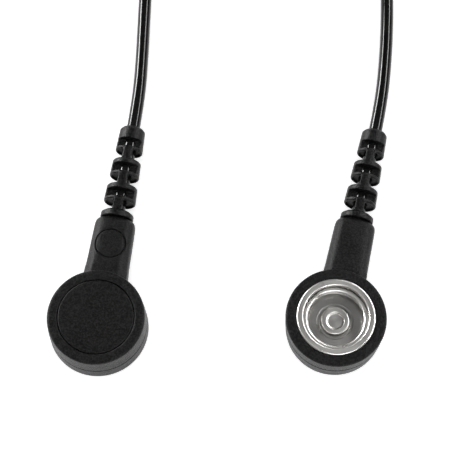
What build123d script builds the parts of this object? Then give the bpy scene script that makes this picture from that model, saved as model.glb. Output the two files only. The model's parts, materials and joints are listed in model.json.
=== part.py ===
from build123d import *

import os
from math import cos, pi, radians, sin, tan

# An ESD bonding cord: a moulded 10 mm snap socket plug on each end of a thin round cord.
# Each plug is built in its own frame, with the disc's axis on local Z, the back face at
# local Z = 0, the socket face above it and the cord leaving along local Y. The left plug
# lies with its socket down and the right plug with its socket up.

# Disc of the plug
BACK_HEIGHT = 3.7
FRONT_HEIGHT = 3.15
DISC_HEIGHT = BACK_HEIGHT + FRONT_HEIGHT
BACK_RADIUS = 7.7
SEAM_RADIUS = 7.9
FRONT_RADIUS = 8.0
EDGE_ROUND = 0.35
SEAM_CHAMFER = 0.1
AXIS_HEIGHT = DISC_HEIGHT / 2
FIT_GAP = 0.03

# Back cover
COVER_RADIUS = 6.0
COVER_THICKNESS = 1.2
COVER_GROOVE = 0.12
COVER_SPIGOT_RADIUS = 2.9
WEB_TOP = 1.9
CAVITY_RADIUS = 6.2

# Snap socket: rolled rim, groove for the ring spring, cup and rivet
RIM_PROUD = 0.25
RIM_TOP = DISC_HEIGHT + RIM_PROUD
RIM_BOTTOM = 6.3
RIM_SEAT = 6.45
RIM_RADIUS = 6.27
RIM_OUTER_ROUND = 0.4
RIM_INNER_ROUND = 0.28
OPENING_RADIUS = 5.15
SHEET = 0.3
GROOVE_RADIUS = 5.75
GROOVE_FLOOR = 5.1
CUP_RADIUS = 4.9
CUP_FLOOR = 4.1
SPRING_WIRE_RADIUS = 0.475
SPRING_RADIUS = 4.825
SPRING_HEIGHT = (GROOVE_FLOOR + RIM_BOTTOM) / 2
SPRING_GAP_AT = 139.0
SPRING_GAP = 3.0
RIVET_HOLE_RADIUS = 1.25
RIVET_SHANK_RADIUS = 1.2
BOSS_RADIUS = 2.33
BOSS_HEIGHT = 0.75
BOSS_DIMPLE_RADIUS = 1.35
BOSS_DIMPLE_DEPTH = 0.35
FLARE_RADIUS = 1.9
FLARE_HEIGHT = 0.35

# Terminal behind the socket, resistor, crimp and core, along local Y
TERMINAL_RADIUS = 2.9
TERMINAL_THICKNESS = 0.3
TERMINAL_TAIL_WIDTH = 1.6
TERMINAL_TAIL_END = 7.6
TERMINAL_TAB_DROP = 1.1
LEAD_RADIUS = 0.25
LEAD_START = 7.0
RESISTOR_START = 8.2
RESISTOR_END = 13.7
RESISTOR_CAP_RADIUS = 1.15
RESISTOR_WAIST_RADIUS = 1.0
RESISTOR_CAP_LENGTH = 1.3
RESISTOR_CAP_SLOPE = 0.4
RESISTOR_ROUND = 0.35
LEAD_END = 15.2
FERRULE_START = 14.0
FERRULE_END = 16.4
FERRULE_RADIUS = 0.75
CORE_START = 15.3
CORE_RADIUS = 0.35
HELD_CORD_START = 17.0

# Barrel
BARREL_START = 6.15
BARREL_END = 17.6
BARREL_WIDTH = 7.1
BARREL_HEIGHT = 5.1
BARREL_TAPER = 1.2
BARREL_CORNER = 1.15
BARREL_CORNER_ROUND = 0.9
BARREL_SHOULDER = 0.55
BARREL_BORE_RADIUS = 1.6
BARREL_BORE_START = 4.56
BARREL_BORE_END = 16.6

# Strain relief: a spigot in the barrel, a collar and three slotted groups
SPIGOT_RADIUS = 1.57
COLLAR_RADIUS = 2.7
COLLAR_ROUND_START = 18.45
COLLAR_TOP = 18.82
COLLAR_TOP_RADIUS = 2.2
GROUP_COUNT = 3
GROUP_START = 20.4
GROUP_PITCH = 4.52
NOTCH_LENGTH = 1.58
RELIEF_BASE_RADIUS = 2.645
RELIEF_TAPER = 0.042
CAP_SHOULDER = 33.35
CAP_BEVEL_END = 33.75
CAP_BEVEL_RADIUS = 1.75
RELIEF_TIP = 33.9
TIP_RADIUS = 1.45
GROUP_BEVEL = 0.2
STEM_HALF_WIDTH = 0.75
POCKET_DEPTH = 0.4
POCKET_WALL = 0.32
WINDOW_BOTTOM = 0.58
WINDOW_TOP = 2.03
WINDOW_FLOOR = 0.9
SIDE_WEB = 0.35
JACKET_START = 32.35

# Cord, its put-away coil and the tie
CORD_RADIUS = 1.1
STRAIGHT_END = 39.5
TIE_THICKNESS = 0.45
TIE_ARC = 18.0
COIL_PITCH = 2.3
COIL_LAYER = 2.25
COIL_LAYERS = 4
TURNS_PER_LAYER = 4.5
COIL_RADIUS = 16.85
COIL_INNER_RADIUS = COIL_RADIUS - COIL_PITCH * TURNS_PER_LAYER
COIL_FLOOR_HEIGHT = TIE_THICKNESS + CORD_RADIUS
LAST_TURN_RADIUS = COIL_RADIUS + COIL_PITCH

# Where the two plugs and the coil lie
HALF_SPACING = 18.875
DISC_Y = (FRONT_RADIUS - BARREL_END) / 2
LEFT_LEAN = 8.4
RIGHT_LEAN = 12.8
COIL_X = 6.6
COIL_Y = DISC_Y + 84.0
LARGE = 40.0


def left_frame():
    """The left plug's own frame: socket down, so local Z points at the table."""
    lean = radians(LEFT_LEAN)
    return Plane(
        origin=(-HALF_SPACING, DISC_Y, RIM_TOP),
        x_dir=(-cos(lean), sin(lean), 0),
        z_dir=(0, 0, -1),
    )


def right_frame():
    """The right plug's own frame: socket up, back face on the table."""
    lean = radians(RIGHT_LEAN)
    return Plane(
        origin=(HALF_SPACING, DISC_Y, 0),
        x_dir=(cos(lean), -sin(lean), 0),
        z_dir=(0, 0, 1),
    )


def upright(plug):
    """Plane through the disc's axis: X outwards to the side, Y along the disc's axis."""
    return Plane(origin=plug.origin, x_dir=plug.x_dir, z_dir=-plug.y_dir)


def lengthwise(plug):
    """Plane along the barrel's axis: X towards the cord, Y outwards to the side."""
    centre = plug.from_local_coords(Vector(0, 0, AXIS_HEIGHT))
    return Plane(origin=centre, x_dir=plug.y_dir, z_dir=-plug.z_dir)


def across(plug, distance):
    """Plane square to the barrel's axis, at a distance from the disc's centre."""
    centre = plug.from_local_coords(Vector(0, distance, AXIS_HEIGHT))
    return Plane(origin=centre, x_dir=plug.x_dir, z_dir=plug.y_dir)


def disc_axis(plug):
    return Axis(plug.origin, plug.z_dir)


def barrel_axis(plug):
    return Axis(plug.from_local_coords(Vector(0, 0, AXIS_HEIGHT)), plug.y_dir)


def relief_radius(distance):
    return RELIEF_BASE_RADIUS - RELIEF_TAPER * (distance - GROUP_START)


def barrel_section(plug, distance, gap=0.0):
    """The barrel's eight-sided section with soft corners, narrower towards the cord."""
    grow = 2 * gap - 2 * tan(radians(BARREL_TAPER)) * (distance - BARREL_START)
    with BuildSketch(across(plug, distance)) as section:
        Rectangle(BARREL_WIDTH + grow, BARREL_HEIGHT + grow)
        chamfer(section.vertices(), BARREL_CORNER)
        fillet(section.vertices(), BARREL_CORNER_ROUND)
    return section.sketch


def make_front_housing(plug):
    """Socket-side half of the disc, a ring that holds the socket shell."""
    notch = barrel_section(plug, BARREL_START, gap=FIT_GAP)
    with BuildPart() as front_housing:
        with BuildSketch(upright(plug)):
            with BuildLine():
                Polyline(
                    (CUP_RADIUS + SHEET + FIT_GAP, BACK_HEIGHT),
                    (SEAM_RADIUS - SEAM_CHAMFER, BACK_HEIGHT),
                    (SEAM_RADIUS, BACK_HEIGHT + SEAM_CHAMFER),
                    (FRONT_RADIUS, DISC_HEIGHT),
                    (RIM_RADIUS + FIT_GAP, DISC_HEIGHT),
                    (RIM_RADIUS + FIT_GAP, RIM_SEAT),
                    (GROOVE_RADIUS + SHEET + FIT_GAP, RIM_SEAT),
                    (GROOVE_RADIUS + SHEET + FIT_GAP, GROOVE_FLOOR - SHEET),
                    (CUP_RADIUS + SHEET + FIT_GAP, GROOVE_FLOOR - SHEET),
                    close=True,
                )
            make_face()
        revolve(axis=disc_axis(plug))
        face = front_housing.faces().sort_by(disc_axis(plug))[-1]
        fillet(face.outer_wire().edges(), EDGE_ROUND)
        extrude(notch, amount=LARGE, mode=Mode.SUBTRACT)
        with BuildSketch(plug.offset(BACK_HEIGHT)):
            with Locations((0, TERMINAL_TAIL_END / 2)):
                Rectangle(2 * BARREL_BORE_RADIUS, TERMINAL_TAIL_END)
        extrude(amount=GROOVE_FLOOR - BACK_HEIGHT - SHEET, mode=Mode.SUBTRACT)
    return front_housing.part


def make_rear_housing(plug):
    """Back half of the disc with the barrel that leads to the strain relief."""
    shoulder = BARREL_END - BARREL_SHOULDER
    sections = [
        barrel_section(plug, BARREL_START),
        barrel_section(plug, shoulder),
        barrel_section(plug, BARREL_END, gap=-BARREL_SHOULDER),
    ]
    with BuildPart() as rear_housing:
        with BuildSketch(upright(plug)):
            with BuildLine():
                Polyline(
                    (COVER_SPIGOT_RADIUS + FIT_GAP, COVER_THICKNESS + FIT_GAP),
                    (COVER_RADIUS + COVER_GROOVE, COVER_THICKNESS + FIT_GAP),
                    (COVER_RADIUS + COVER_GROOVE, 0),
                    (BACK_RADIUS, 0),
                    (SEAM_RADIUS, BACK_HEIGHT - SEAM_CHAMFER),
                    (SEAM_RADIUS - SEAM_CHAMFER, BACK_HEIGHT),
                    (CAVITY_RADIUS, BACK_HEIGHT),
                    (CAVITY_RADIUS, WEB_TOP),
                    (COVER_SPIGOT_RADIUS + FIT_GAP, WEB_TOP),
                    close=True,
                )
            make_face()
        revolve(axis=disc_axis(plug))
        face = rear_housing.faces().sort_by(disc_axis(plug))[0]
        fillet(face.outer_wire().edges(), EDGE_ROUND)
        loft(sections, ruled=True)
        with BuildSketch(across(plug, BARREL_BORE_START)):
            Circle(BARREL_BORE_RADIUS)
        extrude(amount=BARREL_END - BARREL_BORE_START, mode=Mode.SUBTRACT)
    return rear_housing.part


def make_back_cover(plug):
    """Round cover set in the back face, with a spigot that centres it."""
    with BuildPart() as back_cover:
        with BuildSketch(plug):
            Circle(COVER_RADIUS)
        extrude(amount=COVER_THICKNESS)
        outer = back_cover.edges().sort_by(disc_axis(plug))[0]
        fillet(outer, COVER_GROOVE)
        with BuildSketch(plug.offset(COVER_THICKNESS)):
            Circle(COVER_SPIGOT_RADIUS)
        extrude(amount=WEB_TOP - COVER_THICKNESS)
    return back_cover.part


def make_socket_shell(plug):
    """Pressed metal socket: rolled rim, groove for the ring spring, and cup."""
    with BuildPart() as socket_shell:
        with BuildSketch(upright(plug)) as profile:
            with BuildLine():
                Polyline(
                    (RIVET_HOLE_RADIUS, CUP_FLOOR - SHEET),
                    (CUP_RADIUS + SHEET, CUP_FLOOR - SHEET),
                    (CUP_RADIUS + SHEET, GROOVE_FLOOR - SHEET),
                    (GROOVE_RADIUS + SHEET, GROOVE_FLOOR - SHEET),
                    (GROOVE_RADIUS + SHEET, RIM_SEAT),
                    (RIM_RADIUS, RIM_SEAT),
                    (RIM_RADIUS, RIM_TOP),
                    (OPENING_RADIUS, RIM_TOP),
                    (OPENING_RADIUS, RIM_BOTTOM),
                    (GROOVE_RADIUS, RIM_BOTTOM),
                    (GROOVE_RADIUS, GROOVE_FLOOR),
                    (CUP_RADIUS, GROOVE_FLOOR),
                    (CUP_RADIUS, CUP_FLOOR),
                    (RIVET_HOLE_RADIUS, CUP_FLOOR),
                    close=True,
                )
            make_face()
            inner, outer = profile.vertices().group_by(Axis.Y)[-1].sort_by(Axis.X)
            fillet(outer, RIM_OUTER_ROUND)
            fillet(inner, RIM_INNER_ROUND)
        revolve(axis=disc_axis(plug))
    return socket_shell.part


def make_ring_spring(plug):
    """Split ring of round wire, loose in the socket's groove."""
    with BuildPart() as ring_spring:
        with BuildSketch(upright(plug)):
            with Locations((SPRING_RADIUS, SPRING_HEIGHT)):
                Circle(SPRING_WIRE_RADIUS)
        revolve(axis=disc_axis(plug))
        gap_width = 2 * pi * SPRING_RADIUS * SPRING_GAP / 360
        with BuildSketch(plug.offset(GROOVE_FLOOR)):
            with PolarLocations(SPRING_RADIUS, 1, start_angle=SPRING_GAP_AT):
                Rectangle(4 * SPRING_WIRE_RADIUS, gap_width)
        extrude(amount=RIM_BOTTOM - GROOVE_FLOOR, mode=Mode.SUBTRACT)
    return ring_spring.part


def make_socket_rivet(plug):
    """Tubular rivet: a dimpled boss in the cup, a shank and a flare behind."""
    flare_top = CUP_FLOOR - SHEET - TERMINAL_THICKNESS
    boss_top = CUP_FLOOR + BOSS_HEIGHT
    with BuildPart() as socket_rivet:
        with BuildSketch(upright(plug)):
            with BuildLine():
                Polyline(
                    (0, flare_top - FLARE_HEIGHT),
                    (FLARE_RADIUS, flare_top - FLARE_HEIGHT),
                    (FLARE_RADIUS, flare_top),
                    (RIVET_SHANK_RADIUS, flare_top),
                    (RIVET_SHANK_RADIUS, CUP_FLOOR),
                    (BOSS_RADIUS, CUP_FLOOR),
                    (BOSS_RADIUS, boss_top - BOSS_HEIGHT / 3),
                    (BOSS_RADIUS - BOSS_HEIGHT / 2, boss_top),
                    (BOSS_DIMPLE_RADIUS, boss_top),
                    (BOSS_DIMPLE_RADIUS - BOSS_DIMPLE_DEPTH, boss_top - BOSS_DIMPLE_DEPTH),
                    (0, boss_top - BOSS_DIMPLE_DEPTH),
                    close=True,
                )
            make_face()
        revolve(axis=disc_axis(plug))
    return socket_rivet.part


def make_solder_terminal(plug):
    """Ring lug riveted behind the cup, its tab turned down across the barrel's axis."""
    top = CUP_FLOOR - SHEET
    with BuildPart() as solder_terminal:
        with BuildSketch(plug.offset(top - TERMINAL_THICKNESS)):
            Circle(TERMINAL_RADIUS)
            with Locations((0, TERMINAL_TAIL_END / 2)):
                Rectangle(TERMINAL_TAIL_WIDTH, TERMINAL_TAIL_END)
            Circle(RIVET_HOLE_RADIUS, mode=Mode.SUBTRACT)
        extrude(amount=TERMINAL_THICKNESS)
        with BuildSketch(plug.offset(top)):
            with Locations((0, TERMINAL_TAIL_END - TERMINAL_THICKNESS / 2)):
                Rectangle(TERMINAL_TAIL_WIDTH, TERMINAL_THICKNESS)
        extrude(amount=-TERMINAL_TAB_DROP)
        with BuildSketch(across(plug, LEAD_START)):
            Circle(LEAD_RADIUS + FIT_GAP)
        extrude(amount=TERMINAL_TAIL_END, mode=Mode.SUBTRACT)
    return solder_terminal.part


def make_resistor_body(plug):
    """Film resistor, a little wider over its two end caps."""
    first_cap_end = RESISTOR_START + RESISTOR_CAP_LENGTH
    second_cap_start = RESISTOR_END - RESISTOR_CAP_LENGTH
    with BuildPart() as resistor_body:
        with BuildSketch(lengthwise(plug)):
            with BuildLine():
                Polyline(
                    (RESISTOR_START, 0),
                    (RESISTOR_START, RESISTOR_CAP_RADIUS - RESISTOR_ROUND),
                    (RESISTOR_START + RESISTOR_ROUND, RESISTOR_CAP_RADIUS),
                    (first_cap_end, RESISTOR_CAP_RADIUS),
                    (first_cap_end + RESISTOR_CAP_SLOPE, RESISTOR_WAIST_RADIUS),
                    (second_cap_start - RESISTOR_CAP_SLOPE, RESISTOR_WAIST_RADIUS),
                    (second_cap_start, RESISTOR_CAP_RADIUS),
                    (RESISTOR_END - RESISTOR_ROUND, RESISTOR_CAP_RADIUS),
                    (RESISTOR_END, RESISTOR_CAP_RADIUS - RESISTOR_ROUND),
                    (RESISTOR_END, 0),
                    close=True,
                )
            make_face()
        revolve(axis=barrel_axis(plug))
    return resistor_body.part


def make_rod(plug, start, end, radius):
    """Round wire along the barrel's axis."""
    with BuildPart() as rod:
        with BuildSketch(across(plug, start)):
            Circle(radius)
        extrude(amount=end - start)
    return rod.part


def make_front_lead(plug):
    return make_rod(plug, LEAD_START, RESISTOR_START, LEAD_RADIUS)


def make_rear_lead(plug):
    return make_rod(plug, RESISTOR_END, LEAD_END, LEAD_RADIUS)


def make_cord_core(plug):
    return make_rod(plug, CORE_START, JACKET_START, CORE_RADIUS)


def make_crimp_ferrule(plug):
    """Crimp sleeve that joins the resistor's lead to the cord's core."""
    with BuildPart() as crimp_ferrule:
        with BuildSketch(across(plug, FERRULE_START)):
            Circle(FERRULE_RADIUS)
            Circle(CORE_RADIUS + FIT_GAP, mode=Mode.SUBTRACT)
        extrude(amount=FERRULE_END - FERRULE_START)
    return crimp_ferrule.part


def make_held_cord(plug):
    """The end of the jacketed cord that the relief is moulded round, with its core's hole."""
    with BuildPart() as held_cord:
        with BuildSketch(across(plug, HELD_CORD_START)):
            Circle(CORD_RADIUS)
            Circle(CORE_RADIUS + FIT_GAP, mode=Mode.SUBTRACT)
        extrude(amount=JACKET_START - HELD_CORD_START)
    return held_cord.part


def make_notches(plug, groups):
    """What the notches take away below each group: all but the stems above and below the cord."""
    with BuildPart() as notches:
        with BuildSketch(lengthwise(plug)):
            for low in groups:
                upper = low - NOTCH_LENGTH
                with BuildLine():
                    Polyline(
                        (upper, 0),
                        (upper, relief_radius(upper) - GROUP_BEVEL),
                        (upper - GROUP_BEVEL, relief_radius(upper)),
                        (upper - GROUP_BEVEL, LARGE),
                        (low + GROUP_BEVEL, LARGE),
                        (low + GROUP_BEVEL, relief_radius(low)),
                        (low, relief_radius(low) - GROUP_BEVEL),
                        (low, 0),
                        close=True,
                    )
                make_face()
        revolve(axis=barrel_axis(plug))
        with BuildSketch(lengthwise(plug)):
            with Locations(((BARREL_END + RELIEF_TIP) / 2, 0)):
                Rectangle(RELIEF_TIP - BARREL_END, 2 * STEM_HALF_WIDTH)
        extrude(amount=LARGE, both=True, mode=Mode.SUBTRACT)
    return notches.part


def make_strain_relief(plug):
    """Flexible relief round the cord: groups joined by stems, with pockets and windows."""
    groups = [GROUP_START + i * GROUP_PITCH for i in range(GROUP_COUNT)]
    with BuildPart() as strain_relief:
        with BuildSketch(lengthwise(plug)):
            with BuildLine():
                Polyline(
                    (BARREL_BORE_END, 0),
                    (BARREL_BORE_END, SPIGOT_RADIUS),
                    (BARREL_END, SPIGOT_RADIUS),
                    (BARREL_END, COLLAR_RADIUS),
                    (COLLAR_ROUND_START, COLLAR_RADIUS),
                    (COLLAR_TOP, COLLAR_TOP_RADIUS),
                    (GROUP_START, relief_radius(GROUP_START)),
                    (CAP_SHOULDER, relief_radius(CAP_SHOULDER)),
                    (CAP_BEVEL_END, CAP_BEVEL_RADIUS),
                    (RELIEF_TIP, TIP_RADIUS),
                    (RELIEF_TIP, 0),
                    close=True,
                )
            make_face()
        revolve(axis=barrel_axis(plug))
        add(make_notches(plug, groups), mode=Mode.SUBTRACT)

        for low in groups:
            with BuildSketch(across(plug, low)):
                Circle(relief_radius(low) - POCKET_WALL)
                Rectangle(2 * STEM_HALF_WIDTH, LARGE, mode=Mode.SUBTRACT)
            extrude(amount=POCKET_DEPTH, mode=Mode.SUBTRACT)

        for side in (1, -1):
            with BuildSketch(lengthwise(plug).offset(side * WINDOW_FLOOR)):
                for low in groups:
                    middle = low + (WINDOW_BOTTOM + WINDOW_TOP) / 2
                    half = relief_radius(middle) - SIDE_WEB
                    with Locations((middle, 0)):
                        Rectangle(WINDOW_TOP - WINDOW_BOTTOM, 2 * half)
            extrude(amount=side * LARGE, mode=Mode.SUBTRACT)

        with BuildSketch(across(plug, BARREL_BORE_END)):
            Circle(CORE_RADIUS + FIT_GAP)
        extrude(amount=HELD_CORD_START - BARREL_BORE_END, mode=Mode.SUBTRACT)
        with BuildSketch(across(plug, HELD_CORD_START)):
            Circle(CORD_RADIUS + FIT_GAP)
        extrude(amount=RELIEF_TIP - HELD_CORD_START, mode=Mode.SUBTRACT)
    return strain_relief.part


def corner_radii(route):
    """Each corner's arc takes 0.45 of the shorter of the two runs beside it."""
    points = [Vector(*point) for point in route]
    radii = []
    for before, at, after in zip(points, points[1:], points[2:]):
        turn = radians((at - before).get_angle(after - at))
        shorter = min((at - before).length, (after - at).length)
        radii.append(0.45 * shorter / tan(turn / 2))
    return radii


def cord_tube(route):
    """Round cord along straight runs joined by arcs."""
    radii = corner_radii(route)
    with BuildPart() as cord:
        with BuildLine() as path:
            FilletPolyline(*route, radius=radii)
        start = path.wire() ^ 0
        with BuildSketch(start):
            Circle(CORD_RADIUS)
        sweep()
    length = path.wire().length
    section = pi * CORD_RADIUS**2
    print("radii", [round(radius, 1) for radius in radii])
    print("length", round(length, 2), "volume ratio", round(cord.part.volume / section / length, 4))
    return cord.part


def make_coil(left_cord, right_cord):
    """Outer shape of the coil, with the last turn running down round its far side."""
    height = (COIL_LAYERS - 1) * COIL_LAYER + 2 * CORD_RADIUS
    centre = Plane((COIL_X, COIL_Y, TIE_THICKNESS), x_dir=(1, 0, 0), z_dir=(0, -1, 0))
    inner = COIL_INNER_RADIUS - CORD_RADIUS
    outer = COIL_RADIUS + CORD_RADIUS
    with BuildPart() as cord_coil:
        with BuildSketch(centre):
            with Locations((inner, 0)):
                Rectangle(outer - inner, height, align=(Align.MIN, Align.MIN))
        revolve(axis=Axis(centre.origin, (0, 0, 1)))
        with BuildSketch(centre):
            with Locations((outer, 0)):
                Rectangle(COIL_PITCH, height, align=(Align.MIN, Align.MIN))
        revolve(axis=Axis(centre.origin, (0, 0, 1)), revolution_arc=180)
        add(left_cord, mode=Mode.SUBTRACT)
        add(right_cord, mode=Mode.SUBTRACT)
    return cord_coil.part


def make_tie():
    """Flat tie round the coil on the side nearest the plugs."""
    height = (COIL_LAYERS - 1) * COIL_LAYER + 2 * CORD_RADIUS
    inner = COIL_INNER_RADIUS - CORD_RADIUS
    outer = COIL_RADIUS + CORD_RADIUS
    start = radians(-90 - TIE_ARC / 2)
    centre = Plane(
        (COIL_X, COIL_Y, TIE_THICKNESS + height / 2),
        x_dir=(cos(start), sin(start), 0),
        z_dir=(sin(start), -cos(start), 0),
    )
    with BuildPart() as cord_tie:
        with BuildSketch(centre):
            with Locations(((inner + outer) / 2, 0)):
                Rectangle(outer - inner + 2 * TIE_THICKNESS, height + 2 * TIE_THICKNESS)
                Rectangle(outer - inner, height, mode=Mode.SUBTRACT)
        revolve(axis=Axis(centre.origin, (0, 0, 1)), revolution_arc=TIE_ARC)
    return cord_tie.part


def on_axis(plug, distance):
    """Point on the barrel's axis, as a plain tuple."""
    return tuple(plug.from_local_coords(Vector(0, distance, AXIS_HEIGHT)))


PLUG_PIECES = {
    "front_housing": make_front_housing,
    "rear_housing": make_rear_housing,
    "back_cover": make_back_cover,
    "socket_shell": make_socket_shell,
    "ring_spring": make_ring_spring,
    "socket_rivet": make_socket_rivet,
    "solder_terminal": make_solder_terminal,
    "resistor_body": make_resistor_body,
    "front_lead": make_front_lead,
    "rear_lead": make_rear_lead,
    "crimp_ferrule": make_crimp_ferrule,
    "cord_core": make_cord_core,
    "held_cord": make_held_cord,
    "strain_relief": make_strain_relief,
}

# The cord lies on the table, and rises a little to enter each relief and the coil.
LEFT_ROUTE = [
    on_axis(left_frame(), JACKET_START),
    on_axis(left_frame(), STRAIGHT_END),
    (-12.8, DISC_Y + 47.5, 2.3),
    (-12.65, DISC_Y + 56.5, 1.25),
    (-12.35, DISC_Y + 66.0, CORD_RADIUS),
    (-11.55, DISC_Y + 75.0, 1.3),
    (COIL_X - COIL_RADIUS, COIL_Y, COIL_FLOOR_HEIGHT),
]
RIGHT_ROUTE = [
    on_axis(right_frame(), JACKET_START),
    on_axis(right_frame(), STRAIGHT_END),
    (28.8, DISC_Y + 47.5, 2.2),
    (29.5, DISC_Y + 56.5, 1.25),
    (29.7, DISC_Y + 66.0, CORD_RADIUS),
    (28.0, DISC_Y + 75.0, 1.3),
    (COIL_X + LAST_TURN_RADIUS, COIL_Y, COIL_FLOOR_HEIGHT),
]


def save(piece, name):
    piece.label = name
    export_step(piece, f"parts/{name}.step")


os.makedirs("parts", exist_ok=True)
for side, plug_frame in (("left", left_frame()), ("right", right_frame())):
    for piece_name, make in PLUG_PIECES.items():
        save(make(plug_frame), f"{side}_{piece_name}")

left_tube = cord_tube(LEFT_ROUTE)
right_tube = cord_tube(RIGHT_ROUTE)
save(left_tube, "left_cord")
save(right_tube, "right_cord")
save(make_coil(left_tube, right_tube), "cord_coil")
save(make_tie(), "cord_tie")
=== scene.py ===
import json
from math import cos, hypot, pi, radians, sin, tan

import bmesh
import bpy
from mathutils import Matrix, Vector


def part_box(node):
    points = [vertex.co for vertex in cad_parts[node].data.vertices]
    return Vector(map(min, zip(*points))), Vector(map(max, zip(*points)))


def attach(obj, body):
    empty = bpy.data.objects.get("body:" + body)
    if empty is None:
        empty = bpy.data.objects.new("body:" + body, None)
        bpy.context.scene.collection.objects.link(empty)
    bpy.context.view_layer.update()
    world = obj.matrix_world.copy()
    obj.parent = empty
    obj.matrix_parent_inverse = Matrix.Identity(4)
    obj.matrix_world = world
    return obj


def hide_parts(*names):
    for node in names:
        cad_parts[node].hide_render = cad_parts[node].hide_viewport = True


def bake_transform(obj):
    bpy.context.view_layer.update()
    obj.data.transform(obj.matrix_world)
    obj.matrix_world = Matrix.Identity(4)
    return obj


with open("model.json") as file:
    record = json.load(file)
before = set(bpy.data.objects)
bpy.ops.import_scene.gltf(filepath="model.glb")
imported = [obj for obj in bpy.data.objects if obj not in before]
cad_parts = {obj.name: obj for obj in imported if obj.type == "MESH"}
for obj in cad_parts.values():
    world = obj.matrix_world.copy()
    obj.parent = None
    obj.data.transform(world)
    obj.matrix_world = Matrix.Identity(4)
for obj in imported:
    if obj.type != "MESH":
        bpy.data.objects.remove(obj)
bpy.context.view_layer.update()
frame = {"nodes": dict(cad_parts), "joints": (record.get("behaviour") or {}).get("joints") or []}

# An ESD bonding cord with a moulded 10 mm snap socket plug on each end. Sizes are in
# metres, but for the points of CORD_RUN and the outlines that the function rounded
# takes, which are in mm. In a plug's own frame local Z runs from the back face to the
# socket face and local Y from the disc's centre to the cord.
MM = 0.001
SIDES = ("left", "right")
JOINTS = {joint["name"]: joint for joint in frame["joints"]}

# Disc and barrel
DISC_HEIGHT = 6.85 * MM
AXIS_HEIGHT = DISC_HEIGHT / 2
SEAM_HEIGHT = 3.7 * MM
SEAM_WIDTH = 0.16 * MM
SEAM_DEPTH = 0.2 * MM
SEAM_INSIDE = 7.4 * MM
BARREL_START = 8.4 * MM
BARREL_FADE = 1.5 * MM
BARREL_CAVITY = 1.95 * MM
BARREL_SMOOTHING = 240
MARK_AT = 12.67 * MM
MARK_RADIUS = 2.4 * MM
MARK_LINE = 0.18 * MM
MARK_DEPTH = 0.22 * MM

# Snap socket; the gap of its ring spring is in degrees round the disc
RIM_TOP = 7.1 * MM
# Depths below the rim over which the cup's colour darkens with painted shade and its surface grows
# rougher
CUP_SHADE_AND_FROST_FROM = 2.2 * MM
CUP_SHADE_AND_FROST_TO = 3.0 * MM
SPRING_RADIUS = 4.825 * MM
SPRING_WIRE = 0.475 * MM
SPRING_HEIGHT = 5.7 * MM
SPRING_SPREAD = 0.09 * MM
SPRING_GAP_AT = 139.0
SPRING_GAP = 3.0

# Resistor: distance of each colour band from the disc's centre, and its colour
RESISTOR_BANDS = (
    (9.1 * MM, (0.12, 0.04, 0.015)),
    (10.2 * MM, (0.01, 0.01, 0.01)),
    (11.2 * MM, (0.02, 0.16, 0.04)),
    (12.7 * MM, (0.55, 0.36, 0.06)),
)
BAND_HALF_WIDTH = 0.25 * MM

# Strain relief
COLLAR_TOP = 18.82 * MM
RELIEF_MIDDLE = 27.405 * MM
HELD_CORD_START = 17.0 * MM
JACKET_START = 32.35 * MM
CORE_START = 15.3 * MM
CORE_RADIUS = 0.35 * MM
ROD_RING_STEP = 0.25 * MM

# Cord; each point of its run to the coil is x, distance from the discs' centres, height
CORD_DIAMETER = 2.2 * MM
CORD_RADIUS = CORD_DIAMETER / 2
CORD_STRAIGHT_END = 39.5 * MM
DISC_Y = -4.8 * MM
CORD_RUN = {
    "left": ((-12.8, 47.5, 2.3), (-12.65, 56.5, 1.25), (-12.35, 66.0, 1.1), (-11.55, 75.0, 1.3)),
    "right": ((28.8, 47.5, 2.2), (29.5, 56.5, 1.25), (29.7, 66.0, 1.1), (28.0, 75.0, 1.2)),
}

# Coil: layers one on another, then half a turn over the edge of the top one and down to the floor
COIL_X = 6.6 * MM
COIL_Y = 79.2 * MM
COIL_PITCH = 2.3 * MM
COIL_LAYER = 2.25 * MM
COIL_LAYERS = 4
TURNS_PER_LAYER = 4.5
COIL_TURNS = COIL_LAYERS * TURNS_PER_LAYER
CLIMB_TURNS = 0.5
DOWN_TURNS = 0.5
OVER_EDGE_SHARE = 0.4
COIL_RADIUS = 16.85 * MM
LAST_TURN_RADIUS = COIL_RADIUS + COIL_PITCH
FIRST_LAYER_HEIGHT = 1.335 * MM
COIL_TILT = 0.225 * MM
POINTS_PER_TURN = 24

# Tie: a ribbed strip round one side of the coil, and two ends twisted together, whose
# curve is given by distances from the coil's centre and directions in degrees
TIE_WIDTH = 3.0 * MM
TIE_THICKNESS = 0.3 * MM
TIE_EDGE_SLOPE = 3
TIE_RIB = 0.12 * MM
TIE_RIB_REACH = 0.42 * MM
TAIL_HEIGHT = 5.0 * MM
TAIL_CURVE = ((18.0 * MM, -90), (20.4 * MM, -90), (20.3 * MM, -72), (20.1 * MM, -58))
TAIL_HALF_WIDTH = 0.4 * MM
TAIL_HALF_THICKNESS = 0.34 * MM
TAIL_TWIST_RADIUS = 0.36 * MM
TAIL_SPREAD = 0.5 * MM
TAIL_SPREAD_FROM = 0.85
TAIL_TWISTS = 3.2

# Camera and lights
CAMERA_AIM = Vector((2.195 * MM, 12.155 * MM, 0))
CAMERA_DISTANCE = 243.12 * MM
CAMERA_ELEVATION = 70.23
CAMERA_LENS = 115.15
LIGHT_AIM = Vector((0, 10 * MM, 0))
LIGHT_DISTANCE = 0.5


def link(obj):
    bpy.context.scene.collection.objects.link(obj)
    return obj


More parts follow.
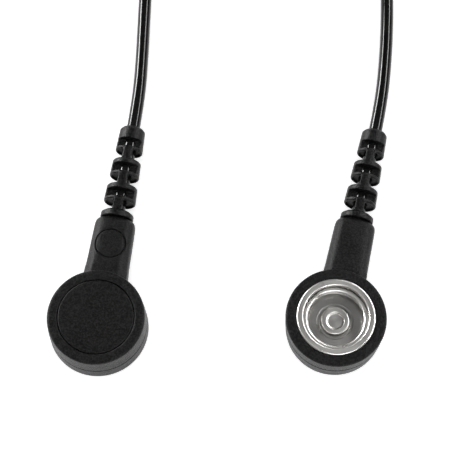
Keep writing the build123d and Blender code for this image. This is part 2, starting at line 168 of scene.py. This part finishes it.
def plug_frame(side):
    """Matrix from a plug's own frame to the object's frame, worked out from its joints and cover."""
    disc = Vector(JOINTS[f"{side}_spring_turn"]["pos_m"])
    lift = Vector(JOINTS[f"{side}_lift"]["pos_m"])
    low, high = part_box(f"{side}_back_cover")
    socket_up = disc.z > (low.z + high.z) / 2
    z_dir = Vector((0, 0, 1 if socket_up else -1))
    y_dir = Vector((lift.x - disc.x, lift.y - disc.y, 0)).normalized()
    x_dir = y_dir.cross(z_dir)
    origin = Vector((disc.x, disc.y, low.z if socket_up else high.z))
    turn = Matrix((x_dir, y_dir, z_dir)).transposed().to_4x4()
    return Matrix.Translation(origin) @ turn


PLUG = {side: plug_frame(side) for side in SIDES}


def on_axis(side, distance):
    """Point on a barrel's axis, at a distance from the disc's centre."""
    return PLUG[side] @ Vector((0, distance, AXIS_HEIGHT))


# ---------------------------------------------------------------- shader nodes


def set_inputs(tree, node, inputs):
    """Each input gets its value, or a link from another node's output."""
    for key, value in inputs.items():
        if isinstance(value, bpy.types.NodeSocket):
            tree.links.new(value, node.inputs[key])
        else:
            node.inputs[key].default_value = value


def add_node(tree, kind, inputs, **settings):
    node = tree.nodes.new("ShaderNode" + kind)
    for name, value in settings.items():
        setattr(node, name, value)
    set_inputs(tree, node, inputs)
    return node


def new_material(name):
    material = bpy.data.materials.new(name)
    material.use_nodes = True
    return material, material.node_tree


def finish_material(material, inputs):
    """The material, with these inputs of its surface set."""
    tree = material.node_tree
    set_inputs(tree, tree.nodes["Principled BSDF"], inputs)
    return material


def grey(level):
    return (level, level, level)


def darker(colour, share):
    return tuple(share * part for part in colour)


def coordinates(tree, kind="Object"):
    return add_node(tree, "TexCoord", {}).outputs[kind]


def place(tree, scale=(1, 1, 1)):
    """Object coordinates, stretched by scale."""
    mapping = add_node(tree, "Mapping", {"Vector": coordinates(tree), "Scale": scale})
    return mapping.outputs["Vector"]


def split(tree, vector):
    """The vector's x, y and z."""
    parts = add_node(tree, "SeparateXYZ", {"Vector": vector})
    return [parts.outputs[axis] for axis in "XYZ"]


def combine(tree, x, y, z):
    return add_node(tree, "CombineXYZ", {"X": x, "Y": y, "Z": z}).outputs["Vector"]


def dot(tree, vector, direction):
    node = add_node(tree, "VectorMath", {0: vector, 1: direction}, operation="DOT_PRODUCT")
    return node.outputs["Value"]


def calculate(tree, operation, *values):
    """The result of a math operation on numbers or other nodes' outputs."""
    return add_node(tree, "Math", dict(enumerate(values)), operation=operation).outputs["Value"]


def noise(tree, vector, size, detail=2.0, roughness=0.5):
    """Noise whose features are about that size, in metres."""
    inputs = {"Vector": vector, "Scale": 1 / size, "Detail": detail, "Roughness": roughness}
    return add_node(tree, "TexNoise", inputs).outputs["Fac"]


def ramp(tree, value, low, high, start=0.3, end=0.7):
    """value from start to end becomes low to high."""
    inputs = {"Value": value, "From Min": start, "From Max": end, "To Min": low, "To Max": high}
    return add_node(tree, "MapRange", inputs).outputs["Result"]


def mix_colour(tree, factor, first, second):
    """From first, a colour or another node's output, at factor 0 to the second colour at 1."""
    first = (*first, 1) if isinstance(first, tuple) else first
    inputs = {"Factor": factor, "A": first, "B": (*second, 1)}
    return add_node(tree, "Mix", inputs, data_type="RGBA").outputs["Result"]


def bump(tree, height, depth, below=None):
    """Normal with a bump of that depth in metres, on top of another bump's normal."""
    inputs = {"Strength": 1.0, "Distance": depth, "Height": height}
    if below is not None:
        inputs["Normal"] = below
    return add_node(tree, "Bump", inputs).outputs["Normal"]


# ---------------------------------------------------------------- materials


def moulded_plastic(name, light, roughness, grain, grain_depth):
    """Black moulded plastic: fine pebbled grain, faint flow marks and paler edges, partly wear and
    partly a painted highlight.
    """
    material, tree = new_material(name)
    pebbles = noise(tree, place(tree), grain, detail=3.0, roughness=0.65)
    flow = noise(tree, place(tree, (1, 0.35, 1)), 14 * grain, detail=4.0)
    # Paler sharp edges from pointiness: partly edge wear, partly a painted highlight where edges catch
    # the light.
    pointiness = add_node(tree, "NewGeometry", {}).outputs["Pointiness"]
    edge = ramp(tree, pointiness, 0.0, 0.5, start=0.52, end=0.6)
    specks = ramp(tree, pebbles, 0.0, 1.0, start=0.42, end=0.62)
    shade = calculate(tree, "ADD", specks, ramp(tree, flow, -0.1, 0.1))
    paler_share = calculate(tree, "ADD", shade, edge)
    return finish_material(material, {
        "Base Color": mix_colour(tree, paler_share, grey(0.001), grey(light)),
        "Roughness": ramp(tree, pebbles, *roughness),
        "Normal": bump(tree, pebbles, grain_depth, below=bump(tree, flow, 2 * grain_depth)),
        "Specular IOR Level": 0.13,
    })


def jacket_material():
    """Glossy black cord jacket: soft waves along it and a few rubs."""
    material, tree = new_material("cord_jacket")
    waves = noise(tree, place(tree, (1, 0.2, 1)), 2.4 * MM, detail=1.0)
    rubs = noise(tree, place(tree), 0.5 * MM, detail=4.0)
    paler_share = ramp(tree, rubs, 0, 1, start=0.4, end=0.8)
    return finish_material(material, {
        "Base Color": mix_colour(tree, paler_share, grey(0.004), grey(0.009)),
        "Roughness": ramp(tree, rubs, 0.1, 0.2),
        "Normal": bump(tree, rubs, 0.002 * MM, below=bump(tree, waves, 0.03 * MM)),
        "Specular IOR Level": 0.24,
    })


def turned_metal(name, side, colour, roughness, line_size, line_depth):
    """Plated metal, darker with painted shade and rougher deep in the cup, with fine marks round the
    disc's axis and faint stains.
    """
    material, tree = new_material(f"{side}_{name}")
    centre = PLUG[side].translation
    inputs = {0: coordinates(tree), 1: (centre.x, centre.y, 0)}
    away = add_node(tree, "VectorMath", inputs, operation="SUBTRACT")
    x, y, z = split(tree, away.outputs["Vector"])
    square = calculate(
        tree, "ADD", calculate(tree, "MULTIPLY", x, x), calculate(tree, "MULTIPLY", y, y)
    )
    radius = calculate(tree, "POWER", square, 0.5)
    along = calculate(tree, "MULTIPLY", calculate(tree, "ARCTAN2", y, x), 0.4 * MM)
    lines = noise(tree, combine(tree, radius, along, z), line_size, detail=3.0, roughness=0.7)
    stains = noise(tree, place(tree), 1.6 * MM, detail=5.0)
    face = (PLUG[side] @ Vector((0, 0, RIM_TOP))).z
    # Painted shade: the colour darkens with depth in the cup below the rim, where shade falls; the
    # stains mixed in are real tarnish.
    depth = calculate(tree, "ABSOLUTE", calculate(tree, "SUBTRACT", z, face))
    inside = ramp(tree, depth, 0.0, 1.0, start=CUP_SHADE_AND_FROST_FROM, end=CUP_SHADE_AND_FROST_TO)
    painted_shade_and_stains = calculate(tree, "ADD", inside, ramp(tree, stains, -0.12, 0.12))
    frosted = ramp(tree, inside, *roughness, start=0.0, end=1.0)
    return finish_material(material, {
        "Base Color": mix_colour(tree, painted_shade_and_stains, colour, darker(colour, 0.56)),
        "Roughness": calculate(tree, "ADD", frosted, ramp(tree, stains, -0.04, 0.04)),
        "Normal": bump(tree, lines, line_depth, below=bump(tree, stains, 1.5 * line_depth)),
        "Tangent": combine(tree, calculate(tree, "MULTIPLY", y, -1), x, 0),
        "Anisotropic": 0.55,
        "Metallic": 1.0,
    })


def plain_metal(name, colour, roughness):
    """Tinned or drawn metal with small tarnish spots and drawing marks."""
    material, tree = new_material(name)
    spots = noise(tree, place(tree), 0.3 * MM, detail=4.0)
    marks = noise(tree, place(tree, (1, 0.1, 1)), 0.08 * MM)
    smoothest, roughest = roughness
    return finish_material(material, {
        "Base Color": mix_colour(tree, ramp(tree, spots, 0, 1), darker(colour, 0.55), colour),
        "Roughness": ramp(tree, spots, roughest, smoothest),
        "Normal": bump(tree, marks, 0.004 * MM),
        "Metallic": 1.0,
    })


def rubbed_plastic(name, dark, light, roughness):
    """Smooth dark plastic with fine rubs and a soft uneven surface."""
    material, tree = new_material(name)
    rubs = noise(tree, place(tree), 0.3 * MM, detail=5.0)
    soft = noise(tree, place(tree), 1.5 * MM, detail=1.0)
    return finish_material(material, {
        "Base Color": mix_colour(tree, ramp(tree, rubs, 0, 1), grey(dark), grey(light)),
        "Roughness": ramp(tree, rubs, *roughness),
        "Normal": bump(tree, rubs, 0.006 * MM, below=bump(tree, soft, 0.02 * MM)),
    })


def resistor_material(side):
    """Beige lacquer with four colour bands round it, for one megohm."""
    material, tree = new_material(f"{side}_resistor_lacquer")
    along = PLUG[side].to_3x3() @ Vector((0, 1, 0))
    reach = dot(tree, place(tree), along)
    start = on_axis(side, 0).dot(along)
    speckle = noise(tree, place(tree), 0.12 * MM, detail=3.0)
    colour = mix_colour(tree, speckle, (0.62, 0.43, 0.24), (0.74, 0.56, 0.34))
    for distance, band in RESISTOR_BANDS:
        inside = calculate(tree, "COMPARE", reach, start + distance, BAND_HALF_WIDTH)
        colour = mix_colour(tree, inside, colour, band)
    return finish_material(material, {
        "Base Color": colour,
        "Roughness": ramp(tree, speckle, 0.2, 0.35),
        "Normal": bump(tree, speckle, 0.01 * MM),
    })


HOUSING = moulded_plastic("housing_black", 0.0155, (0.3, 0.46), 0.25 * MM, 0.1 * MM)
COVER = moulded_plastic("cover_black", 0.0145, (0.28, 0.46), 0.27 * MM, 0.1 * MM)
RELIEF = moulded_plastic("relief_black", 0.018, (0.28, 0.44), 0.26 * MM, 0.07 * MM)
JACKET = jacket_material()
CORE = rubbed_plastic("core_insulation", 0.02, 0.035, (0.35, 0.5))
TIE = rubbed_plastic("tie_black", 0.012, 0.024, (0.3, 0.5))
BRASS = plain_metal("tinned_brass", (0.7, 0.62, 0.46), (0.25, 0.45))
COPPER = plain_metal("tinned_copper", (0.72, 0.7, 0.67), (0.22, 0.4))
NICKEL = {
    side: turned_metal("nickel", side, (0.68, 0.67, 0.65), (0.3, 0.38), 0.08 * MM, 0.0012 * MM)
    for side in SIDES
}
SPRING = {
    side: turned_metal("spring_steel", side, (0.66, 0.65, 0.63), (0.3, 0.34), 0.05 * MM, 0.0003 * MM)
    for side in SIDES
}
RESISTOR = {side: resistor_material(side) for side in SIDES}


# ---------------------------------------------------------------- pieces and meshes


def add_piece(name, mesh, material):
    piece = link(bpy.data.objects.new(name, mesh))
    mesh.materials.clear()
    mesh.materials.append(material)
    return piece


def add_rigid_piece(name, mesh, material, body, node):
    """A piece that rides on a body and takes a CAD node's place."""
    piece = add_piece(name, mesh, material)
    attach(piece, body)
    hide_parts(node)
    return piece


def shade_smooth(mesh):
    mesh.polygons.foreach_set("use_smooth", [True] * len(mesh.polygons))


def add_smoothing(work, turns, group=""):
    smooth = work.modifiers.new("smooth", "SMOOTH")
    smooth.factor = 0.5
    smooth.iterations = turns
    smooth.vertex_group = group


def shaped_mesh(work):
    """The mesh of a work object with its modifiers applied; the work object is removed."""
    graph = bpy.context.evaluated_depsgraph_get()
    mesh = bpy.data.meshes.new_from_object(work.evaluated_get(graph))
    bpy.data.objects.remove(work)
    return mesh


def moulded_copy(node, voxel, turns):
    """A copy of a CAD node's shape with softly rounded edges, as a moulding has."""
    work = link(bpy.data.objects.new("work", frame["nodes"][node].data.copy()))
    weld = work.modifiers.new("weld", "WELD")
    weld.merge_threshold = 0.001 * MM
    remesh = work.modifiers.new("remesh", "REMESH")
    remesh.mode = "VOXEL"
    remesh.voxel_size = voxel
    add_smoothing(work, turns)
    mesh = shaped_mesh(work)
    shade_smooth(mesh)
    return mesh


def circle(count):
    """Cosine and sine at evenly spaced angles round a circle."""
    angles = [2 * pi * k / count for k in range(count)]
    return [(cos(angle), sin(angle)) for angle in angles]


def rounded(corners, steps):
    """The outline through (r, z, radius) corners in mm, each corner rounded with that radius."""
    outline = []
    count = len(corners)
    for i, (r, z, radius) in enumerate(corners):
        here = Vector((r, z)) * MM
        before = Vector(corners[i - 1][:2]) * MM - here
        after = Vector(corners[(i + 1) % count][:2]) * MM - here
        if radius == 0:
            outline.append(here)
            continue
        reach = radius * MM / tan(before.angle(after) / 2)
        start = here + before.normalized() * reach
        end = here + after.normalized() * reach
        for k in range(steps + 1):
            t = k / steps
            outline.append(start * (1 - t) ** 2 + here * 2 * t * (1 - t) + end * t**2)
    return outline


def finished_mesh(bm, sharp):
    """A mesh from bm, its edges sharper than that many degrees marked as sharp."""
    bmesh.ops.recalc_face_normals(bm, faces=bm.faces)
    mesh = bpy.data.meshes.new("piece")
    bm.to_mesh(mesh)
    bm.free()
    mesh.set_sharp_from_angle(angle=radians(sharp))
    return mesh


def skin(*tubes):
    """A smooth mesh over tubes, each a pair: its rings of points, and whether it is closed.

    A ring may be a single point. A closed tube's last ring joins its first; any other tube
    has a cap at each end.
    """
    bm = bmesh.new()
    for points, closed in tubes:
        rings = [[bm.verts.new(point) for point in ring] for ring in points]
        for lower, upper in zip(rings, rings[1:] + rings[:1] if closed else rings[1:]):
            count = max(len(lower), len(upper))
            for k in range(count):
                far = (k + 1) % count
                corners = (
                    lower[k % len(lower)], lower[far % len(lower)],
                    upper[far % len(upper)], upper[k % len(upper)],
                )
                face = list(dict.fromkeys(corners))
                if len(face) > 2:
                    bm.faces.new(face)
        if not closed:
            bm.faces.new(rings[0])
            bm.faces.new(rings[-1])
    for face in bm.faces:
        face.smooth = True
    return finished_mesh(bm, sharp=40)


def lathe(side, outline, segments=256):
    """The outline of (r, z) points turned round a plug's disc axis."""
    rings = [
        [PLUG[side] @ Vector((r * c, r * s, z)) for c, s in circle(segments if r > 0 else 1)]
        for r, z in outline
    ]
    return skin((rings, True))


def cut(mesh, point, normal):
    """The part of a mesh on the side of the plane that the normal points to, closed at the cut."""
    bm = bmesh.new()
    bm.from_mesh(mesh)
    geometry = bm.verts[:] + bm.edges[:] + bm.faces[:]
    result = bmesh.ops.bisect_plane(
        bm, geom=geometry, plane_co=point, plane_no=normal, clear_inner=True
    )
    edges = [item for item in result["geom_cut"] if isinstance(item, bmesh.types.BMEdge)]
    filled = bmesh.ops.triangle_fill(bm, use_beauty=True, edges=edges)
    for item in filled["geom"]:
        if isinstance(item, bmesh.types.BMFace):
            item.smooth = False
    return finished_mesh(bm, sharp=60)


# ---------------------------------------------------------------- cord


def ease(share):
    """From 0 to 1 with a soft start and end, and level outside."""
    share = min(max(share, 0), 1)
    return share * share * (3 - 2 * share)


def coil_point(turn):
    """Centre of the cord after that many turns: layers wound in, out, in, out, then down outside."""
    angle = radians(180 - 360 * turn)
    phase = min(turn, COIL_TURNS) / TURNS_PER_LAYER
    layer = min(int(phase), COIL_LAYERS - 1)
    share = phase - layer
    wound_inward = layer % 2 == 0
    radius = COIL_RADIUS - COIL_PITCH * TURNS_PER_LAYER * (share if wound_inward else 1 - share)
    height = 0.0
    for step in range(1, COIL_LAYERS):
        height += COIL_LAYER * ease((turn - step * TURNS_PER_LAYER) / CLIMB_TURNS + 0.5)
    if turn > COIL_TURNS:
        share = (turn - COIL_TURNS) / DOWN_TURNS
        over = min(share / OVER_EDGE_SHARE, 1) * pi / 2
        below = COIL_RADIUS - COIL_PITCH * (turn - COIL_TURNS)
        drop = ease((share - OVER_EDGE_SHARE) / (1 - OVER_EDGE_SHARE))
        radius = below + COIL_PITCH * sin(over)
        radius += (LAST_TURN_RADIUS - radius) * drop
        height = (COIL_LAYERS - 2 + cos(over)) * COIL_LAYER * (1 - drop)
    tilt = COIL_TILT * sin(angle) * radius / COIL_RADIUS
    return Vector((
        COIL_X + radius * cos(angle),
        COIL_Y + radius * sin(angle),
        FIRST_LAYER_HEIGHT - tilt + height,
    ))


def cord_run(side):
    """The cord's control points from a relief to the coil."""
    run = [Vector((x * MM, DISC_Y + y * MM, z * MM)) for x, y, z in CORD_RUN[side]]
    return [on_axis(side, JACKET_START), on_axis(side, CORD_STRAIGHT_END)] + run


def make_cord():
    """The cord on one smooth curve: out of the left relief, round the coil, into the right relief."""
    count = int((COIL_TURNS + DOWN_TURNS) * POINTS_PER_TURN)
    coil = [coil_point(k / POINTS_PER_TURN) for k in range(count + 1)]
    points = cord_run("left") + coil + cord_run("right")[::-1]
    curve = bpy.data.curves.new("cord", "CURVE")
    curve.dimensions = "3D"
    curve.resolution_u = 6
    curve.bevel_depth = CORD_RADIUS
    curve.bevel_resolution = 6
    curve.use_fill_caps = True
    spline = curve.splines.new("NURBS")
    spline.points.add(len(points) - 1)
    for target, point in zip(spline.points, points):
        target.co = (*point, 1)
    spline.order_u = 3
    spline.use_endpoint_u = True
    curve.materials.append(JACKET)
    cord = link(bpy.data.objects.new("cord", curve))
    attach(cord, "cord")
    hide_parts("left_cord", "right_cord", "cord_coil")
    return cord


# ---------------------------------------------------------------- strain relief and core


def rod(side, start, end, radius, segments=48):
    """A round rod along a barrel's axis, with rings close enough together to bend smoothly."""
    count = round((end - start) / ROD_RING_STEP)
    rings = []
    for i in range(count + 1):
        distance = start + (end - start) * i / count
        rings.append([
            PLUG[side] @ Vector((radius * c, distance, AXIS_HEIGHT + radius * s))
            for c, s in circle(segments)
        ])
    return skin((rings, False))


def make_relief(side):
    """The relief with the cord and core inside it, each made in two halves.

    The half next to the cord runs from the cord's end to the relief's middle, the other
    from there to the plug.
    """
    middle = on_axis(side, RELIEF_MIDDLE)
    collar, cord_end = on_axis(side, COLLAR_TOP), on_axis(side, JACKET_START)
    along = (cord_end - collar).normalized()
    relief = moulded_copy(f"{side}_strain_relief", voxel=0.1 * MM, turns=3)
    pieces = []
    for node, material, slot, root_mesh, tip_mesh in (
        (
            "strain_relief", RELIEF, "relief_black",
            cut(relief, middle, -along),
            cut(relief, middle, along),
        ),
        (
            "held_cord", JACKET, "cord_jacket",
            rod(side, HELD_CORD_START, RELIEF_MIDDLE, CORD_RADIUS),
            rod(side, RELIEF_MIDDLE, JACKET_START, CORD_RADIUS),
        ),
        (
            "cord_core", CORE, "core_insulation",
            rod(side, CORE_START, RELIEF_MIDDLE, CORE_RADIUS),
            rod(side, RELIEF_MIDDLE, JACKET_START, CORE_RADIUS),
        ),
    ):
        root = add_piece(f"{side}_{node}_root", root_mesh, material)
        tip = add_piece(f"{side}_{node}_tip", tip_mesh, material)
        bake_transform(root)
        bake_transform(tip)
        for half in (root, tip):
            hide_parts(f"{side}_{node}")
            pieces.append(half)
    return pieces


# ---------------------------------------------------------------- plug


def soften_barrel(side, mesh):
    """The rear housing with its barrel's corners rounded off softly."""
    inverse = PLUG[side].inverted()
    work = link(bpy.data.objects.new("work", mesh))
    group = work.vertex_groups.new(name="barrel")
    for vert in mesh.vertices:
        x, y, z = inverse @ vert.co
        if y > BARREL_START and hypot(x, z - AXIS_HEIGHT) > BARREL_CAVITY:
            group.add([vert.index], min(1, (y - BARREL_START) / BARREL_FADE), "REPLACE")
    add_smoothing(work, BARREL_SMOOTHING, group="barrel")
    return shaped_mesh(work)


def engrave_mark(side, mesh):
    """A plain ring, engraved in the back of the barrel."""
    inverse = PLUG[side].inverted()
    bm = bmesh.new()
    bm.from_mesh(mesh)

    def off_line(point):
        """Distance from the ring's line, seen from behind; a metre on the socket side."""
        local = inverse @ point
        if local.z > AXIS_HEIGHT:
            return 1.0
        return hypot(local.x, local.y - MARK_AT) - MARK_RADIUS

    near = [edge for edge in bm.edges if abs(off_line(edge.verts[0].co)) < 2 * MARK_LINE]
    bmesh.ops.subdivide_edges(bm, edges=near, cuts=2, use_grid_fill=True)
    inward = PLUG[side].to_3x3() @ Vector((0, 0, 1))
    for vert in bm.verts:
        share = abs(off_line(vert.co)) / MARK_LINE
        if share < 1 and (inverse @ vert.co).z < AXIS_HEIGHT / 2:
            vert.co += inward * MARK_DEPTH * (1 - share * share) ** 2
    bm.to_mesh(mesh)
    bm.free()
    shade_smooth(mesh)


def cut_seam(side, mesh):
    """A fine V all round the disc, where the two housings meet."""
    inverse = PLUG[side].inverted()
    for vert in mesh.vertices:
        local = inverse @ vert.co
        share = 1 - abs(local.z - SEAM_HEIGHT) / SEAM_WIDTH
        radius = hypot(local.x, local.y)
        if share > 0 and radius > SEAM_INSIDE:
            shrink = 1 - SEAM_DEPTH * share / radius
            vert.co = PLUG[side] @ Vector((local.x * shrink, local.y * shrink, local.z))


def make_housings(side):
    """The two halves of the plug's housing and the cover in its back."""
    front = moulded_copy(f"{side}_front_housing", voxel=0.11 * MM, turns=1)
    rear = soften_barrel(side, moulded_copy(f"{side}_rear_housing", voxel=0.13 * MM, turns=1))
    cover = moulded_copy(f"{side}_back_cover", voxel=0.1 * MM, turns=1)
    engrave_mark(side, rear)
    cut_seam(side, front)
    cut_seam(side, rear)
    for mesh, node, material, slot in (
        (front, f"{side}_front_housing", HOUSING, "housing_black"),
        (rear, f"{side}_rear_housing", HOUSING, "housing_black"),
        (cover, f"{side}_back_cover", COVER, "cover_black"),
    ):
        add_rigid_piece(f"{node}_moulded", mesh, material, f"{side}_plug", node)


def spring_wire(side, rings=240, segments=28):
    """Round wire bent to a ring; its two cut ends stand a little past each other."""
    rows = []
    for i in range(rings + 1):
        share = i / rings
        angle = radians(SPRING_GAP_AT + SPRING_GAP / 2 + (360 - SPRING_GAP) * share)
        spread = SPRING_SPREAD * abs(2 * share - 1) ** 9 * (1 if share > 0.5 else -1)
        row = []
        for c, s in circle(segments):
            r = SPRING_RADIUS + spread + SPRING_WIRE * c
            z = SPRING_HEIGHT + SPRING_WIRE * s
            row.append(PLUG[side] @ Vector((r * cos(angle), r * sin(angle), z)))
        rows.append(row)
    return skin((rows, False))


def make_socket(side):
    """The pressed socket shell, its rivet and the split ring spring in its groove."""
    shell = (
        (1.25, 3.8, 0), (5.2, 3.8, 0.3), (5.2, 4.8, 0.1), (6.05, 4.8, 0.2), (6.05, 6.45, 0.1),
        (6.27, 6.45, 0.05), (6.27, 7.1, 0.42), (5.15, 7.1, 0.3), (5.15, 6.3, 0.12), (5.75, 6.3, 0.1),
        (5.75, 5.1, 0.25), (4.9, 5.1, 0.2), (4.9, 4.1, 0.35), (2.95, 4.1, 0.12), (2.8, 4.02, 0.1),
        (2.6, 4.02, 0.1), (2.45, 4.1, 0.1), (1.25, 4.1, 0),
    )
    rivet = (
        (0, 3.15, 0), (1.9, 3.15, 0.15), (1.9, 3.5, 0.1), (1.2, 3.5, 0), (1.2, 4.1, 0),
        (2.38, 4.1, 0), (2.28, 4.85, 0.42), (1.42, 4.85, 0.22), (1.2, 4.5, 0.22), (0, 4.56, 0),
    )
    for node, corners, steps in (
        (f"{side}_socket_shell", shell, 8),
        (f"{side}_socket_rivet", rivet, 10),
    ):
        mesh = lathe(side, rounded(corners, steps))
        add_rigid_piece(f"{node}_turned", mesh, NICKEL[side], f"{side}_plug", node)
    node = f"{side}_ring_spring"
    add_rigid_piece(
        f"{node}_wire", spring_wire(side), SPRING[side], f"{side}_spring", node
    )


def dress_inner_parts(side):
    """Materials for what each plug holds inside; their shapes are the frame's own."""
    for name, material in (
        ("solder_terminal", BRASS),
        ("resistor_body", RESISTOR[side]),
        ("front_lead", COPPER),
        ("rear_lead", COPPER),
        ("crimp_ferrule", COPPER),
    ):
        for material_slot in frame["nodes"][f"{side}_{name}"].material_slots:
            material_slot.material = material


# ---------------------------------------------------------------- tie


def section_ring(centre, side, up, section):
    """The section's (side, up) points round a centre."""
    return [centre + side * u + up * v for u, v in section]


def tie_loop():
    """Rings of the flat strip round the coil, along a rounded rectangle; its rib faces out."""
    tangent, outward, up = Vector((1, 0, 0)), Vector((0, -1, 0)), Vector((0, 0, 1))
    inner, outer, bottom, top, bend = 5.78, 17.6, 0.29, 9.57, 1.2
    corners = ((inner, bottom, bend), (outer, bottom, bend), (outer, top, bend), (inner, top, bend))
    outline = rounded(corners, 10)
    section = []
    for c, s in circle(24):
        u = TIE_WIDTH / 2 * c
        half = TIE_THICKNESS / 2 * min(1, TIE_EDGE_SLOPE * abs(s))
        rib = TIE_RIB * max(0, 1 - (u / TIE_RIB_REACH) ** 2)
        section.append((u, half + rib if s > 0 else -half))
    rings = []
    for i, (r, z) in enumerate(outline):
        step = outline[(i + 1) % len(outline)] - outline[i - 1]
        along = step.normalized()
        normal = outward * along.y - up * along.x
        centre = Vector((COIL_X, COIL_Y, 0)) + outward * r + up * z
        rings.append(section_ring(centre, tangent, normal, section))
    return rings


def tail_centre(share):
    """Centre line of the tie's twisted ends: out from the strip and along the coil's near side."""
    centre = Vector((COIL_X, COIL_Y, TAIL_HEIGHT))
    rest = 1 - share
    weights = (rest**3, 3 * rest**2 * share, 3 * rest * share**2, share**3)
    for (radius, angle), weight in zip(TAIL_CURVE, weights):
        reach = radius * weight
        centre += Vector((reach * cos(radians(angle)), reach * sin(radians(angle)), 0))
    return centre


def tie_tail(start_turn, steps=60):
    """Rings of one of the two twisted ends of the tie."""
    section = [(TAIL_HALF_WIDTH * c, TAIL_HALF_THICKNESS * s) for c, s in circle(16)]
    rings = []
    for i in range(steps + 1):
        share = i / steps
        before, after = tail_centre(max(share - 0.01, 0)), tail_centre(min(share + 0.01, 1))
        along = (after - before).normalized()
        side = along.cross(Vector((0, 0, 1))).normalized()
        up = side.cross(along)
        turn = start_turn + 2 * pi * TAIL_TWISTS * share
        offset = TAIL_TWIST_RADIUS + TAIL_SPREAD * max(share - TAIL_SPREAD_FROM, 0)
        centre = tail_centre(share) + (side * cos(turn) + up * sin(turn)) * offset
        rings.append(section_ring(centre, side, up, section))
    return rings


def make_tie():
    mesh = skin((tie_loop(), True), (tie_tail(0), False), (tie_tail(pi), False))
    return add_rigid_piece("twist_tie", mesh, TIE, "cord", "cord_tie")


# ---------------------------------------------------------------- studio


def make_floor():
    bpy.ops.mesh.primitive_plane_add(size=40.0)
    floor = bpy.context.object
    floor.name = "floor"
    material, tree = new_material("floor_paper")
    shade = noise(tree, place(tree), 0.02, detail=2.0)
    finish_material(material, {
        "Base Color": mix_colour(tree, shade, grey(0.93), grey(0.95)),
        "Roughness": ramp(tree, shade, 0.8, 0.9),
        "Specular IOR Level": 0.1,
        "Emission Color": (1, 1, 1, 1),
        "Emission Strength": 0.55,
    })
    floor.data.materials.append(material)


def make_world():
    """A soft studio: pale at the horizon and brightest overhead, a little towards the viewer."""
    world = bpy.data.worlds.new("studio")
    bpy.context.scene.world = world
    world.use_nodes = True
    tree = world.node_tree
    direction = coordinates(tree, "Generated")
    facing = dot(tree, direction, (-0.12, -0.3, 0.946))
    height = calculate(tree, "ABSOLUTE", split(tree, direction)[2])
    horizon = ramp(tree, height, 0.55, 0.0, start=0.04, end=0.22)
    dome = ramp(tree, facing, 0.04, 0.42, start=0.5, end=1.0)
    strength = calculate(tree, "MAXIMUM", horizon, dome)
    set_inputs(tree, tree.nodes["Background"], {"Strength": strength, "Color": (1, 1, 1, 1)})


def aim(obj, target, azimuth, elevation, distance):
    """Stands an object at an azimuth and elevation in degrees from a target, facing it."""
    flat = cos(radians(elevation))
    away = Vector((
        flat * sin(radians(azimuth)),
        -flat * cos(radians(azimuth)),
        sin(radians(elevation)),
    ))
    obj.location = target + away * distance
    obj.rotation_euler = away.to_track_quat("Z", "Y").to_euler()


def make_light(name, azimuth, elevation, size, power, mirrored):
    """A rectangular light; a mirrored one only shows as a reflection, any other never does."""
    data = bpy.data.lights.new(name, "AREA")
    data.shape = "RECTANGLE"
    data.size, data.size_y = size
    data.energy = power
    light = link(bpy.data.objects.new(name, data))
    aim(light, LIGHT_AIM, azimuth, elevation, LIGHT_DISTANCE)
    light.visible_glossy = mirrored
    light.visible_diffuse = not mirrored
    light.visible_camera = False


def make_camera():
    data = bpy.data.cameras.new("camera")
    data.sensor_width = 36
    data.lens = CAMERA_LENS
    data.clip_start = 0.01
    data.clip_end = 20
    camera = link(bpy.data.objects.new("camera", data))
    aim(camera, CAMERA_AIM, 0, CAMERA_ELEVATION, CAMERA_DISTANCE)
    bpy.context.scene.camera = camera


def make_studio():
    make_floor()
    make_world()
    make_camera()
    make_light("overhead", 0, 90, (0.9, 0.9), 3.6, mirrored=False)
    make_light("left_strip", -120, 17, (0.4, 0.1), 5.5, mirrored=True)
    make_light("right_strip", 112, 36, (0.8, 0.06), 3.6, mirrored=True)
    make_light("front_strip", 15, 35, (0.3, 0.12), 1.2, mirrored=True)
    bpy.context.scene.view_settings.view_transform = "Standard"


make_studio()
cord = make_cord()
tie = make_tie()
relief_pieces = []
for side in SIDES:
    relief_pieces += make_relief(side)
    make_housings(side)
    make_socket(side)
    dress_inner_parts(side)
